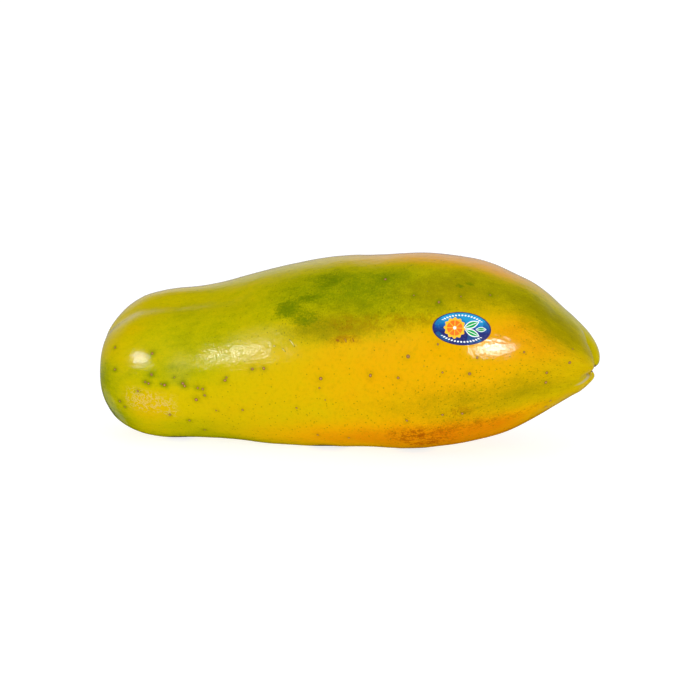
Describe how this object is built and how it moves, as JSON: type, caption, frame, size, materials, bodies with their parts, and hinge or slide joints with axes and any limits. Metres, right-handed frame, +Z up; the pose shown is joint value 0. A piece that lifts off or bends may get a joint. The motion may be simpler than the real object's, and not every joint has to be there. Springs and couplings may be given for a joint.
{
  "type": "papaya",
  "caption": "Whole ripe papaya lying on its side, with a broad neck, a thick belly, a tip pinched into soft lobes round its blossom pit, and a small oval label stuck to the rind.",
  "frame": {"origin": "on the surface that the fruit lies on, under the middle of the fruit's bounding box", "axes": "+X runs from the stem end to the blossom tip, -Y is the side that carries the label, +Z is up"},
  "size_m": [0.2944, 0.113, 0.1148],
  "materials": {
    "rind": "smooth waxy rind, golden yellow with green patches and corky specks",
    "printed_film": "thin glossy printed film, blue with an orange and green motif"
  },
  "bodies": {
    "root": {"fruit": "rind", "label": "printed_film"}
  },
  "joints": []
}
